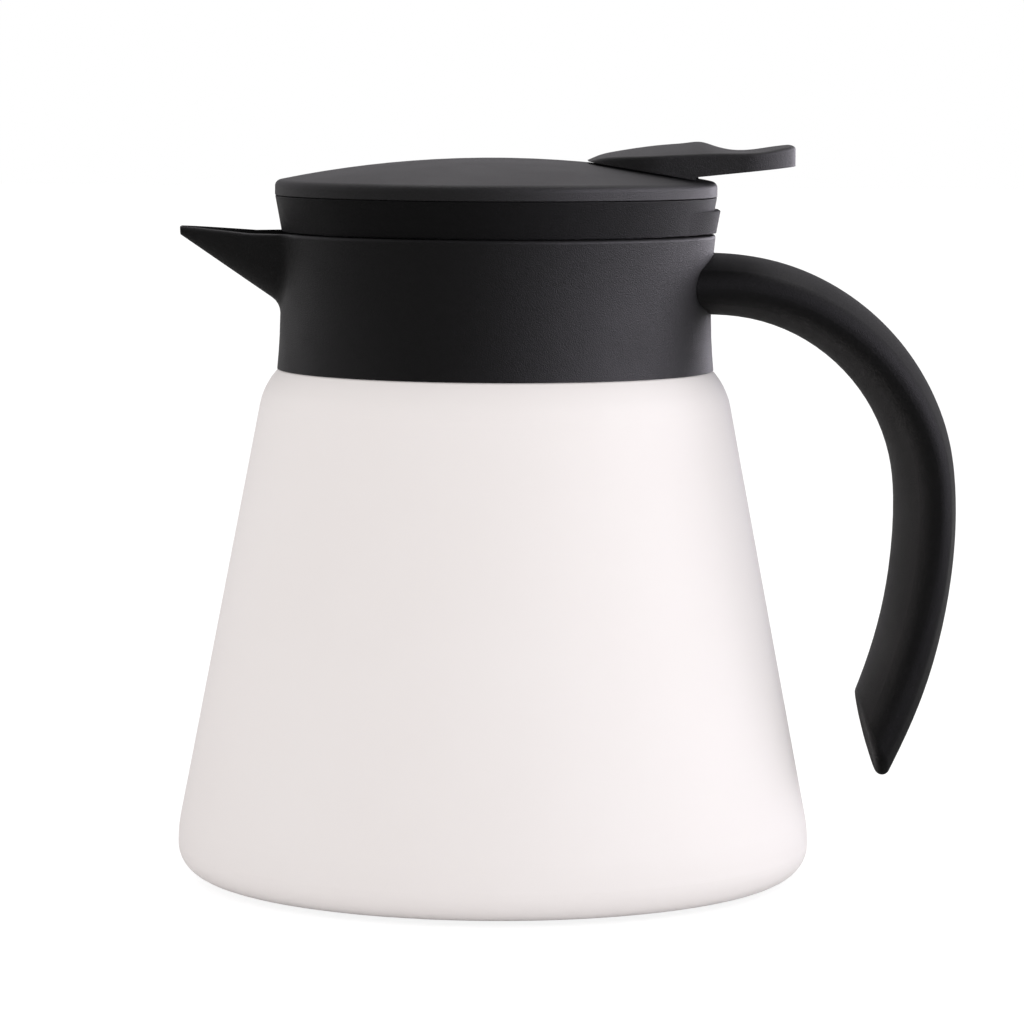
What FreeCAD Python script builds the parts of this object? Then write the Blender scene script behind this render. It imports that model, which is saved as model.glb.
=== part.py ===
"""Vacuum carafe: a steel vessel, a collar with a spout, a handle, and a lid with a thumb lever and a valve.

Millimetres, +Z up, origin on the vessel's axis at the level that the carafe stands on.
The handle points along +X and the spout along -X.
"""
import FreeCAD, Part
import math
import os
import Sketcher

# Driving dimensions, in millimetres unless the name says degrees or count

SIZES = {
    # steel vessel
    "base_radius": 68.1,
    "base_open_inset": 10.1,
    "base_corner_radius": 6.3,
    "belly_rise": 3.3,
    "cone_height": 97.9,
    "shoulder_overhang": 7.8,
    "shoulder_rise": 4.9,
    "neck_radius": 41.5,
    "neck_root_blend_radius": 2.0,
    "neck_height": 8.3,
    "shell_wall": 0.8,
    "liner_wall": 0.6,
    "liner_corner_radius": 9.0,
    "vacuum_gap": 3.2,
    "neck_gap": 1.2,
    "floor_gap": 5.0,
    "lip_thickness": 0.8,
    # base
    "foot_height": 0.8,
    "plate_recess": 3.2,
    "plate_wall": 0.8,
    "foot_width": 8.0,
    "foot_edge_radius": 0.4,
    "hole_radius": 1.5,
    "bead_radius": 4.0,
    "bead_thickness": 1.0,
    "getter_radius": 5.0,
    "getter_height": 2.5,
    # collar and spout
    "collar_lift": 1.2,
    "collar_height": 29.1,
    "collar_neck_gap": 2.1,
    "collar_wall": 3.25,
    "collar_flare": 0.25,
    "collar_bow_radius": 136.0,
    "collar_bevel_height": 3.4,
    "collar_edge_radius": 0.6,
    "ledge_thickness": 1.6,
    "gasket_thickness": 1.0,
    "sleeve_wall": 1.3,
    "sleeve_window_width": 27.0,
    "neck_ring_lift": 1.7,
    "spout_length": 20.5,
    "spout_tip_rise": 1.3,
    "spout_tip_depth": 2.0,
    "spout_root_inset": 5.6,
    "spout_bend_length": 4.9,
    "spout_root_depth": 20.8,
    "spout_root_half_width": 17.0,
    "spout_wall": 1.9,
    "spout_lip": 0.7,
    "spout_blend_radius": 4.0,
    # handle
    "handle_top_radius": 45.8,
    "handle_grip_radius": 112.5,
    "handle_drop": 10.6,
    "handle_bend_inset": 0.35,
    "handle_grip_drop": 3.2,
    "handle_root_depth": 9.0,
    "handle_half_thickness": 6.6,
    "handle_end_half_thickness": 7.0,
    "handle_root_half_width": 19.0,
    "handle_end_half_width": 15.0,
    "handle_cut_inset": 14.25,
    "handle_cut_drop": 42.4,
    "handle_tip_inset": 9.55,
    "handle_tip_drop": 60.8,
    "handle_edge_radius": 1.6,
    "screw_radius": 1.5,
    "screw_length": 14.0,
    "screw_head_radius": 2.7,
    "screw_head_height": 1.2,
    "screw_half_spacing": 6.0,
    # lid shells
    "lid_gap": 0.35,
    "skirt_inset": 1.2,
    "skirt_flare": 1.4,
    "skirt_height": 7.55,
    "skirt_wall": 2.0,
    "skirt_floor": 2.0,
    "seam_gap": 0.12,
    "seam_edge_radius": 0.15,
    "tab_width": 14.0,
    "tab_proud": 1.0,
    "tab_height": 4.8,
    "tab_edge_radius": 1.2,
    "cover_overhang": 0.05,
    "cover_rim_height": 3.05,
    "cover_edge_radius": 1.5,
    "dome_rise": 5.0,
    "cover_wall": 2.2,
    "spigot_inset": 1.0,
    "spigot_wall": 1.6,
    "spigot_depth": 2.8,
    # stopper and valve
    "stopper_gap": 2.0,
    "stopper_wall": 2.2,
    "stopper_flange_width": 3.6,
    "stopper_flange_thickness": 1.7,
    "stopper_depth": 25.95,
    "stopper_floor": 2.2,
    "seat_radius": 10.0,
    "groove_height": 5.0,
    "groove_depth": 1.3,
    "groove_rise": 2.6,
    "gasket_lip_gap": 0.3,
    "gasket_lip_thickness": 1.0,
    "gasket_body": 1.5,
    "window_width": 30.0,
    "window_height": 11.0,
    "window_rise": 13.0,
    "vent_radius": 3.0,
    "guide_rise": 20.0,
    "guide_step": 0.8,
    "guide_ring_width": 2.2,
    "guide_ring_height": 2.0,
    "guide_hub_radius": 5.5,
    "guide_hub_height": 3.0,
    "guide_arm_width": 4.0,
    "guide_arm_count": 3,
    "stem_radius": 2.5,
    "stem_head_radius": 5.0,
    "stem_head_height": 2.0,
    "stem_collar_radius": 6.6,
    "stem_collar_height": 1.0,
    "valve_overlap": 3.0,
    "valve_disc_height": 2.5,
    "valve_seal_height": 1.0,
    "nut_radius": 4.5,
    "nut_height": 2.4,
    "spring_radius": 5.2,
    "spring_wire_radius": 0.45,
    "spring_turn_count": 6,
    # lever
    "pivot_inset": 6.85,
    "pivot_rise": 0.58,
    "pin_radius": 1.5,
    "ear_half_spacing": 5.6,
    "ear_width": 3.0,
    "ear_half_length": 2.6,
    "ear_drop": 2.6,
    "arm_half_width": 5.0,
    "arm_top_below_pivot": 6.15,
    "arm_height": 1.9,
    "arm_knee_gap": 1.3,
    "arm_nose_length": 4.0,
    "arm_nose_drop": 1.2,
    "fork_half_gap": 3.0,
    "fork_depth": 6.0,
    "web_length": 7.0,
    "slot_clearance": 0.5,
    "slot_swing": 1.3,
    "lever_front_length": 23.1,
    "lever_length": 46.2,
    "lever_half_width": 18.0,
    "lever_rise": 4.1,
    "lever_tail_radius": 11.0,
    "lever_edge_radius": 0.8,
    "lever_gap": 0.45,
    "lever_tail_start": 1.5,
    "lever_tail_drop": 3.57,
    "lever_tail_slope_degrees": 6.0,
    "lever_cavity_front_length": 10.5,
    "lever_tail_wall": 6.6,
    "lever_side_wall": 5.0,
    "lever_cavity_drop": 0.27,
    # fits
    "fit_clearance": 0.1,
    "running_clearance": 0.05,
    "moving_clearance": 0.35,
    "overrun": 10.0,
}

# How far along the lever each cross-section lies, and how high its crest and its edge are,
# as shares of the lever's length and of its rise above the dome's top
LEVER_SECTION_SHARES = (
    (0.00, -0.20, -0.36),
    (0.09, 0.12, -0.16),
    (0.18, 0.38, 0.03),
    (0.29, 0.58, 0.15),
    (0.41, 0.74, 0.24),
    (0.50, 0.83, 0.28),
    (0.575, 0.88, 0.32),
    (0.63, 0.70, 0.35),
    (0.69, 0.53, 0.37),
    (0.76, 0.46, 0.38),
    (0.83, 0.52, 0.42),
    (0.91, 0.66, 0.55),
    (1.00, 0.77, 0.68),
)
# Places along the handle's top bend and along its grip, as shares of each bend's angle, each with the
# share of the handle's thickness that lies inside its widest line
HANDLE_TOP_SHARES = (
    (0.0, 0.48), (0.17, 0.49), (0.34, 0.50), (0.51, 0.53), (0.68, 0.58), (0.85, 0.64), (1.0, 0.67),
)
HANDLE_GRIP_SHARES = ((0.2, 0.64), (0.4, 0.59), (0.6, 0.56), (0.8, 0.54), (1.0, 0.54))
# How far along the spout each cross-section lies, and its half width as a share of the root's
SPOUT_SECTION_SHARES = ((0.0, 1.0), (0.5, 0.72), (1.0, 0.14))
# Radius of the handle's rounded sides, as a share of the thickness on each side of the widest line
HANDLE_SIDE_SHARE = 0.6
# How far the shell's and the liner's shoulders drop for each millimetre of wall
SHOULDER_DROP_SHARE = 0.6
# How much of the run beside it each of the vessel's blends takes up
BELLY_BLEND_SHARE = 0.87
SHOULDER_BLEND_SHARE = 0.73
LINER_BLEND_SHARE = 0.51
# Turns, in degrees
FULL_TURN = 360
QUARTER_TURN = 90
# How closely an edge has to lie where a chooser looks for it
NEAR = 0.01


class Size:
    """A number that also carries the expression which binds it to the sheet."""

    def __init__(self, value, text):
        self.value = value
        self.text = text

    @staticmethod
    def of(item):
        return item if isinstance(item, Size) else Size(float(item), repr(float(item)))

    def join(self, mark, other, value):
        return Size(value, "(%s %s %s)" % (self.text, mark, Size.of(other).text))

    def __add__(self, other):
        return self.join("+", other, self.value + Size.of(other).value)

    def __sub__(self, other):
        return self.join("-", other, self.value - Size.of(other).value)

    def __mul__(self, other):
        return self.join("*", other, self.value * Size.of(other).value)

    def __truediv__(self, other):
        return self.join("/", other, self.value / Size.of(other).value)

    def __radd__(self, other):
        return Size.of(other) + self

    def __rsub__(self, other):
        return Size.of(other) - self

    def __rmul__(self, other):
        return Size.of(other) * self

    def __neg__(self):
        return Size.of(-1) * self


class Sizes:
    """The sheet's cells, each as an attribute."""


doc = FreeCAD.newDocument("vacuum_carafe")
sheet = doc.addObject("Spreadsheet::Sheet", "Sizes")
size = Sizes()
for row, (alias, number) in enumerate(SIZES.items(), start=1):
    sheet.set("A%d" % row, alias)
    sheet.set("B%d" % row, str(number))
    sheet.setAlias("B%d" % row, alias)
doc.recompute()
for alias in SIZES:
    setattr(size, alias, Size(float(sheet.get(alias)), "Sizes." + alias))
ZERO = Size.of(0)


# Helpers that draw and bind


def bind(item, name, amount):
    """Set a property and bind it to the sheet."""
    item.setExpression(name, Size.of(amount).text)


def vector(*places):
    return FreeCAD.Vector(*[Size.of(place).value for place in places])


def sine(degrees):
    return Size(math.sin(math.radians(degrees.value)), "sin(%s)" % degrees.text)


def cosine(degrees):
    return Size(math.cos(math.radians(degrees.value)), "cos(%s)" % degrees.text)


def arcsine(share):
    return Size(math.degrees(math.asin(share.value)), "asin(%s)" % share.text)


def tangent(degrees):
    return Size(math.tan(math.radians(degrees.value)), "tan(%s)" % degrees.text)


def square_root(amount):
    return Size(math.sqrt(amount.value), "sqrt(%s)" % amount.text)


def new_body(name):
    return doc.addObject("PartDesign::Body", name)


def new_sketch(body, name, role, offset=None):
    """A sketch on one of the body's own origin planes, moved along the plane's normal."""
    sketch = body.newObject("Sketcher::SketchObject", name)
    plane = [item for item in body.Origin.OriginFeatures if item.Role == role][0]
    sketch.AttachmentSupport = [(plane, "")]
    sketch.MapMode = "FlatFace"
    if offset is not None:
        sketch.AttachmentOffset = FreeCAD.Placement(vector(0, 0, offset), FreeCAD.Rotation())
        bind(sketch, "AttachmentOffset.Base.z", offset)
    return sketch


def arc_between(start, finish, radius, left):
    """The short arc from start to finish that turns left or right, as a counter-clockwise arc."""
    middle = (start + finish) * 0.5
    half = (finish - start).Length / 2
    reach = math.sqrt(max(radius * radius - half * half, 0.0))
    along = (finish - start).normalize()
    side = FreeCAD.Vector(-along.y, along.x, 0)
    centre = middle + side * (reach if left else -reach)
    first, last = (start, finish) if left else (finish, start)
    angles = [math.atan2(end.y - centre.y, end.x - centre.x) for end in (first, last)]
    circle = Part.Circle(centre, FreeCAD.Vector(0, 0, 1), radius)
    return Part.ArcOfCircle(circle, angles[0], angles[1])


def outline(sketch, corners):
    """Draw a closed outline; a corner is (across, up), or (across, up, radius, turn) where an arc starts.

    An arc's turn is left or right, with the word axial after it where its centre lies on the upright axis.
    """
    edges = []
    ends = []
    for index, corner in enumerate(corners):
        start = vector(corner[0], corner[1], 0)
        following = corners[(index + 1) % len(corners)]
        finish = vector(following[0], following[1], 0)
        left = len(corner) == 2 or corner[3].startswith("left")
        if len(corner) == 4:
            edges.append(arc_between(start, finish, corner[2].value, left))
        else:
            edges.append(Part.LineSegment(start, finish))
        ends.append((1, 2) if left else (2, 1))
    first = sketch.GeometryCount
    sketch.addGeometry(edges, False)
    rules = []
    texts = []
    for index, corner in enumerate(corners):
        edge = first + index
        after = (index + 1) % len(corners)
        rules.append(Sketcher.Constraint("Coincident", edge, ends[index][1], first + after, ends[after][0]))
        texts.append(None)
        for kind, place in (("DistanceX", corner[0]), ("DistanceY", corner[1])):
            rules.append(Sketcher.Constraint(kind, -1, 1, edge, ends[index][0], Size.of(place).value))
            texts.append(Size.of(place).text)
        if len(corner) == 4 and corner[3].endswith("axial"):
            rules.append(Sketcher.Constraint("PointOnObject", edge, 3, -2))
            texts.append(None)
        elif len(corner) == 4:
            rules.append(Sketcher.Constraint("Radius", edge, corner[2].value))
            texts.append(corner[2].text)
    write_rules(sketch, rules, texts)


def circle(sketch, across, up, radius):
    """Draw a full circle with its centre and radius bound."""
    edge = sketch.GeometryCount
    across, up = Size.of(across), Size.of(up)
    sketch.addGeometry(Part.Circle(vector(across, up, 0), FreeCAD.Vector(0, 0, 1), radius.value), False)
    rules = [
        Sketcher.Constraint("DistanceX", -1, 1, edge, 3, across.value),
        Sketcher.Constraint("DistanceY", -1, 1, edge, 3, up.value),
        Sketcher.Constraint("Radius", edge, radius.value),
    ]
    write_rules(sketch, rules, [across.text, up.text, radius.text])


def write_rules(sketch, rules, texts):
    start = sketch.ConstraintCount
    sketch.addConstraint(rules)
    for index, text in enumerate(texts):
        if text:
            sketch.setExpression("Constraints[%d]" % (start + index), text)


def revolve(body, name, corners, feature="PartDesign::Revolution", role="XZ_Plane"):
    """Turn an outline, drawn as (radius, height), about the Z axis, with the seam on the plane's side."""
    sketch = new_sketch(body, name + "_outline", role)
    outline(sketch, corners)
    turned = body.newObject(feature, name)
    turned.Profile = sketch
    turned.ReferenceAxis = (sketch, ["V_Axis"])
    turned.Angle = FULL_TURN
    doc.recompute()
    return turned


def extrude(body, name, sketch, length, feature="PartDesign::Pad", both_ways=False, backwards=False):
    """Pad or pocket a sketch."""
    block = body.newObject(feature, name)
    block.Profile = sketch
    block.Midplane = both_ways
    block.Reversed = backwards
    bind(block, "Length", length)
    doc.recompute()
    return block


def round_edges(body, name, radius, chosen):
    """Fillet the edges of the body's tip that the chooser picks."""
    base = body.Tip
    names = ["Edge%d" % (index + 1) for index, edge in enumerate(base.Shape.Edges)
             if not edge.Degenerated and chosen(edge)]
    rounded = body.newObject("PartDesign::Fillet", name)
    rounded.Base = (base, names)
    bind(rounded, "Radius", radius)
    doc.recompute()
    return rounded


def ring_at(radius, height):
    """A chooser for the circular edge of that radius and height."""
    reach, level = Size.of(radius).value, Size.of(height).value

    def chosen(edge):
        curve = edge.Curve
        return (isinstance(curve, Part.Circle) and abs(curve.Radius - reach) < NEAR
                and abs(curve.Center.z - level) < NEAR and abs(curve.Axis.z) > 1 - NEAR)
    return chosen


def rectangle(left, low, right, high):
    return [(left, low), (right, low), (right, high), (left, high)]


# Levels and radii that several pieces share, each stacked on the one that carries it

shell_bottom = size.foot_height
plate_bottom = shell_bottom + size.plate_recess
plate_top = plate_bottom + size.plate_wall
base_open_radius = size.base_radius - size.base_open_inset
liner_bottom = plate_top + size.floor_gap
belly_height = shell_bottom + size.base_corner_radius + size.belly_rise
shoulder_height = belly_height + size.cone_height
shoulder_radius = size.neck_radius + size.shoulder_overhang
neck_root_height = shoulder_height + size.shoulder_rise
lip_bottom = neck_root_height + size.neck_height
lip_top = lip_bottom + size.lip_thickness
ledge_bottom = lip_top + size.gasket_thickness
ledge_top = ledge_bottom + size.ledge_thickness
liner_neck_radius = size.neck_radius - size.shell_wall - size.neck_gap
mouth_radius = liner_neck_radius - size.liner_wall
ledge_radius = mouth_radius + size.moving_clearance
collar_bore = size.neck_radius + size.collar_neck_gap
collar_bottom_radius = collar_bore + size.collar_wall
collar_top_radius = collar_bottom_radius + size.collar_flare
collar_bottom = shoulder_height + size.collar_lift
collar_top = collar_bottom + size.collar_height
spout_tip_height = collar_top + size.spout_tip_rise
spout_reach = collar_top_radius + size.spout_length
screw_height = collar_top - size.handle_drop
screw_seat = collar_bore + size.screw_head_height
skirt_bottom = collar_top + size.lid_gap
skirt_floor_top = skirt_bottom + size.skirt_floor
skirt_bottom_radius = collar_top_radius - size.skirt_inset
skirt_top_radius = skirt_bottom_radius + size.skirt_flare
seam_height = skirt_bottom + size.skirt_height
cover_bottom = seam_height + size.seam_gap
cover_radius = skirt_top_radius + size.cover_overhang
dome_edge_height = cover_bottom + size.cover_rim_height
dome_top = dome_edge_height + size.dome_rise
dome_radius = (cover_radius * cover_radius / size.dome_rise + size.dome_rise) / 2
dome_centre = dome_top - dome_radius
stopper_radius = mouth_radius - size.stopper_gap
stopper_top = skirt_floor_top + size.stopper_flange_thickness
stopper_bottom = skirt_bottom - size.stopper_depth
seat_height = stopper_bottom + size.stopper_floor
guide_bottom = stopper_bottom + size.guide_rise
valve_radius = size.seat_radius + size.valve_overlap
seal_bottom = seat_height + size.fit_clearance
disc_bottom = seal_bottom + size.valve_seal_height
disc_top = disc_bottom + size.valve_disc_height
stem_collar_top = disc_top + size.stem_collar_height
pivot_reach = cover_radius - size.pivot_inset
pivot_height = cover_bottom + size.pivot_rise
arm_top = pivot_height - size.arm_top_below_pivot
stem_head_bottom = arm_top + size.moving_clearance
stem_head_top = stem_head_bottom + size.stem_head_height
lever_front = pivot_reach - size.lever_front_length
lever_tail = lever_front + size.lever_length
lever_cavity_top = dome_top - size.lever_cavity_drop


def cone_radius(height):
    """Outer radius of the vessel's straight wall at a height."""
    slope = (size.base_radius - shoulder_radius) / size.cone_height
    return size.base_radius - (height - belly_height) * slope


def distance(start, end):
    across, up = end[0] - start[0], end[1] - start[1]
    return square_root(across * across + up * up)


def half_turn(before, corner, after):
    """Tangent of half the angle by which an outline turns at a corner."""
    (across_in, up_in), (across_out, up_out) = [
        (end[0] - start[0], end[1] - start[1]) for start, end in ((before, corner), (corner, after))]
    lengths = distance(before, corner) * distance(corner, after)
    cosine_of_turn = (across_in * across_out + up_in * up_out) / lengths
    return square_root((1 - cosine_of_turn) / (1 + cosine_of_turn))


def blend_radius(before, corner, after, run, share):
    """Radius of the blend at a corner that takes up a share of a run beside it."""
    return run * share / half_turn(before, corner, after)


def blend(before, corner, after, radius, turn):
    """The two ends of the arc that rounds a corner of an outline."""
    setback = radius * half_turn(before, corner, after)
    ends = []
    for end in (before, after):
        share = setback / distance(corner, end)
        ends.append((corner[0] + (end[0] - corner[0]) * share, corner[1] + (end[1] - corner[1]) * share))
    return [ends[0] + (radius, turn), ends[1]]


# Steel vessel


def make_outer_shell():
    body = new_body("outer_shell")
    wall = size.shell_wall
    drop = wall * SHOULDER_DROP_SHARE
    inner_base = size.base_radius - wall
    corner = (size.base_radius, shell_bottom)
    belly = (size.base_radius, belly_height)
    shoulder = (shoulder_radius, shoulder_height)
    root = (size.neck_radius, neck_root_height)
    inner_shoulder = (shoulder_radius - wall, shoulder_height - drop)
    inner_root = (size.neck_radius - wall, neck_root_height - drop)
    inner_belly = (inner_base, belly_height)
    inner_corner = (inner_base, shell_bottom + wall)
    belly_blend = blend_radius(corner, belly, shoulder, size.belly_rise, BELLY_BLEND_SHARE)
    shoulder_blend = blend_radius(belly, shoulder, root, distance(shoulder, root), SHOULDER_BLEND_SHARE)
    revolve(body, "shell_wall", [
        (base_open_radius, shell_bottom),
        corner,
        *blend(corner, belly, shoulder, belly_blend, "left"),
        shoulder,
        root,
        (size.neck_radius, lip_bottom),
        (size.neck_radius - wall, lip_bottom),
        inner_root,
        inner_shoulder,
        *blend(inner_shoulder, inner_belly, inner_corner, belly_blend - wall, "right"),
        inner_corner,
        (base_open_radius, shell_bottom + wall),
    ])
    round_edges(body, "base_corner", size.base_corner_radius, ring_at(*corner))
    round_edges(body, "base_corner_inside", size.base_corner_radius - wall, ring_at(*inner_corner))
    round_edges(body, "shoulder", shoulder_blend, ring_at(*shoulder))
    round_edges(body, "shoulder_inside", shoulder_blend - wall, ring_at(*inner_shoulder))
    round_edges(body, "neck_root", size.neck_root_blend_radius, ring_at(*root))
    round_edges(body, "neck_root_inside", size.neck_root_blend_radius + wall, ring_at(*inner_root))
    return body


def make_inner_liner():
    body = new_body("inner_liner")
    wall = size.liner_wall
    inset = size.shell_wall + size.vacuum_gap
    drop = wall * SHOULDER_DROP_SHARE
    shoulder = (shoulder_radius - inset, shoulder_height - inset * SHOULDER_DROP_SHARE)
    root = (liner_neck_radius, neck_root_height - inset * SHOULDER_DROP_SHARE)
    base = cone_radius(liner_bottom) - inset
    blend = blend_radius((base, liner_bottom), shoulder, root, distance(shoulder, root), LINER_BLEND_SHARE)
    floor_top = liner_bottom + wall
    inner_shoulder = (shoulder[0] - wall, shoulder[1] - drop)
    revolve(body, "liner_wall", [
        (ZERO, liner_bottom),
        (base, liner_bottom),
        shoulder,
        root,
        (liner_neck_radius, lip_bottom),
        (size.neck_radius, lip_bottom),
        (size.neck_radius, lip_top),
        (mouth_radius, lip_top),
        (mouth_radius, root[1] - drop),
        inner_shoulder,
        (base - wall, floor_top),
        (ZERO, floor_top),
    ])
    round_edges(body, "floor_corner", size.liner_corner_radius, ring_at(base, liner_bottom))
    round_edges(body, "floor_corner_inside", size.liner_corner_radius - wall,
                ring_at(base - wall, floor_top))
    round_edges(body, "shoulder", blend, ring_at(*shoulder))
    round_edges(body, "shoulder_inside", blend - wall, ring_at(*inner_shoulder))
    return body


def make_base_plate():
    body = new_body("base_plate")
    rim = base_open_radius - size.fit_clearance
    revolve(body, "dish", [
        (size.hole_radius, plate_bottom),
        (rim - size.plate_wall, plate_bottom),
        (rim - size.plate_wall, shell_bottom),
        (rim, shell_bottom),
        (rim, plate_top),
        (size.hole_radius, plate_top),
    ])
    return body


def make_foot_ring():
    body = new_body("foot_ring")
    outer = base_open_radius - size.fit_clearance - size.plate_wall - size.fit_clearance
    inner = outer - size.foot_width
    revolve(body, "ring", rectangle(inner, ZERO, outer, plate_bottom))
    for name, radius in (("outer_edge", outer), ("inner_edge", inner)):
        round_edges(body, name, size.foot_edge_radius, ring_at(radius, ZERO))
    return body


def make_seal_bead():
    body = new_body("seal_bead")
    stub = size.hole_radius - size.running_clearance
    revolve(body, "bead", [
        (ZERO, plate_bottom - size.bead_thickness),
        (size.bead_radius, plate_bottom - size.bead_thickness),
        (size.bead_radius, plate_bottom),
        (stub, plate_bottom),
        (stub, plate_top),
        (ZERO, plate_top),
    ])
    return body


def make_getter():
    body = new_body("getter")
    revolve(body, "pellet", rectangle(ZERO, liner_bottom - size.getter_height,
                                      size.getter_radius, liner_bottom))
    return body


# Collar, spout and handle


def make_neck_ring():
    body = new_body("neck_ring")
    revolve(body, "ring", rectangle(size.neck_radius + size.fit_clearance,
                                    neck_root_height + size.neck_ring_lift,
                                    collar_bore - size.fit_clearance, lip_bottom))
    return body


def make_collar_gasket():
    body = new_body("collar_gasket")
    revolve(body, "ring", rectangle(ledge_radius, lip_top, size.neck_radius, ledge_bottom))
    return body


def spout_section(body, name, reach, level, depth, half_width):
    """A round-bottomed section across the spout: a chord at the top and an arc below it."""
    sketch = new_sketch(body, name, "YZ_Plane", -reach)
    bend = (half_width * half_width + depth * depth) / (depth * 2)
    outline(sketch, [
        (half_width, level),
        (-half_width, level, bend, "left"),
        (ZERO, level - depth, bend, "left"),
    ])
    return sketch


def spout_loft(body, name, feature, wall, lip):
    """The spout's solid, or the channel that lies a wall inside it, drawn up past its rim."""
    level = spout_tip_height + size.spout_tip_depth
    root_reach = collar_bore - size.spout_root_inset
    root_keel = collar_top - size.spout_root_depth
    tip_keel = spout_tip_height - size.spout_tip_depth
    sections = []
    for along, width_share in SPOUT_SECTION_SHARES:
        inset = wall + (lip - wall) * along
        keel = root_keel + (tip_keel - root_keel) * along + inset
        reach = root_reach + (spout_reach - root_reach) * along
        half_width = size.spout_root_half_width * width_share - inset
        sections.append(spout_section(body, "%s_%d" % (name, len(sections)), reach, level, level - keel,
                                      half_width))
    loft = body.newObject(feature, name)
    loft.Profile = sections[0]
    loft.Sections = sections[1:]
    doc.recompute()
    return loft


def make_collar():
    body = new_body("collar")
    bottom, top = collar_bottom, collar_top
    above = spout_tip_height + size.overrun
    spout_bend = collar_top_radius + size.spout_bend_length
    revolve(body, "barrel", [
        (ZERO, bottom),
        (collar_bottom_radius, bottom, size.collar_bow_radius, "right"),
        (collar_top_radius, top),
        (collar_top_radius, spout_tip_height),
        (ZERO, spout_tip_height),
    ])
    spout_loft(body, "spout", "PartDesign::AdditiveLoft", ZERO, ZERO)
    barrel_side = -collar_bore.value
    spout_end = -spout_bend.value

    def at_junction(edge):
        box = edge.BoundBox
        return spout_end < box.XMin and box.XMax < barrel_side and box.ZLength > size.spout_tip_depth.value

    rim = new_sketch(body, "rim_outline", "XZ_Plane")
    outline(rim, [
        (collar_top_radius + size.overrun, top),
        (collar_top_radius + size.overrun, above),
        (-spout_reach - size.overrun, above),
        (-spout_reach - size.overrun, spout_tip_height),
        (-spout_reach, spout_tip_height),
        (-spout_bend, top),
    ])
    extrude(body, "rim", rim, collar_top_radius * 3, "PartDesign::Pocket", both_ways=True)
    round_edges(body, "spout_blend", size.spout_blend_radius, at_junction)

    def on_rim(edge):
        box = edge.BoundBox
        middle = edge.valueAt((edge.FirstParameter + edge.LastParameter) / 2)
        return box.ZMin > top.value - NEAR and abs(middle.y) > NEAR

    round_edges(body, "top_edge", size.collar_edge_radius, on_rim)
    revolve(body, "bore", [
        (ZERO, bottom - size.overrun),
        (collar_bottom_radius, bottom - size.overrun),
        (collar_bottom_radius - size.fit_clearance, bottom),
        (collar_bore, bottom + size.collar_bevel_height),
        (collar_bore, ledge_bottom),
        (ledge_radius, ledge_bottom),
        (ledge_radius, ledge_top),
        (collar_bore, ledge_top),
        (collar_bore, top + size.overrun),
        (ZERO, top + size.overrun),
    ], "PartDesign::Groove")
    spout_loft(body, "channel", "PartDesign::SubtractiveLoft", size.spout_wall, size.spout_lip)
    drill_for_screws(body, "screw_hole", size.screw_radius + size.fit_clearance, screw_seat, size.overrun)
    drill_for_screws(body, "screw_head_hole", size.screw_head_radius + size.fit_clearance,
                     screw_seat - size.overrun, size.overrun)
    return body


def make_collar_sleeve():
    body = new_body("collar_sleeve")
    outer = collar_bore - size.fit_clearance
    top = skirt_bottom - size.moving_clearance
    revolve(body, "ring", rectangle(outer - size.sleeve_wall, ledge_top, outer, top))
    window = new_sketch(body, "window_outline", "YZ_Plane")
    half = size.sleeve_window_width / 2
    outline(window, rectangle(-half, ledge_top + size.sleeve_wall, half, top + size.overrun))
    extrude(body, "window", window, outer + size.overrun, "PartDesign::Pocket")
    return body


def drill_for_screws(body, name, radius, start, length, feature="PartDesign::Pocket"):
    """Round holes, or shanks, along +X at the handle screws' two places."""
    sketch = new_sketch(body, name + "_circles", "YZ_Plane", start)
    for side in (-1, 1):
        circle(sketch, size.screw_half_spacing * side, screw_height, radius)
    return extrude(body, name, sketch, length, feature, backwards=feature.endswith("Pocket"))


def make_handle_screws():
    body = new_body("handle_screws")
    drill_for_screws(body, "head", size.screw_head_radius, screw_seat - size.screw_head_height,
                     size.screw_head_height, "PartDesign::Pad")
    drill_for_screws(body, "shank", size.screw_radius, screw_seat, size.screw_length, "PartDesign::Pad")
    return body


def handle_half(half_width, depth):
    """The side arc and the face arc of one half of a handle section: where they meet, and their radii."""
    side = depth * HANDLE_SIDE_SHARE
    flat = half_width - side
    face = (flat * flat + depth * depth - side * side) / ((depth - side) * 2)
    share = side / (face - side)
    return flat + flat * share, (face - depth) * share, side, face


def handle_section(index, half_width, half_thickness, inner_share):
    """A section across the handle, with +up towards the fingers and flatter on the side away from them."""
    sketch = doc.addObject("Sketcher::SketchObject", "handle_section_%d" % index)
    inner = half_thickness * (inner_share * 2)
    outer = half_thickness * 2 - inner
    widest = half_thickness - inner
    across, up, side, face = handle_half(half_width, inner)
    outer_across, down, outer_side, outer_face = handle_half(half_width, outer)
    outline(sketch, [
        (half_width, widest, side, "left"),
        (across, widest + up, face, "left"),
        (-across, widest + up, side, "left"),
        (-half_width, widest, outer_side, "left"),
        (-outer_across, widest - down, outer_face, "left"),
        (outer_across, widest - down, outer_side, "left"),
    ])
    return sketch


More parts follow.
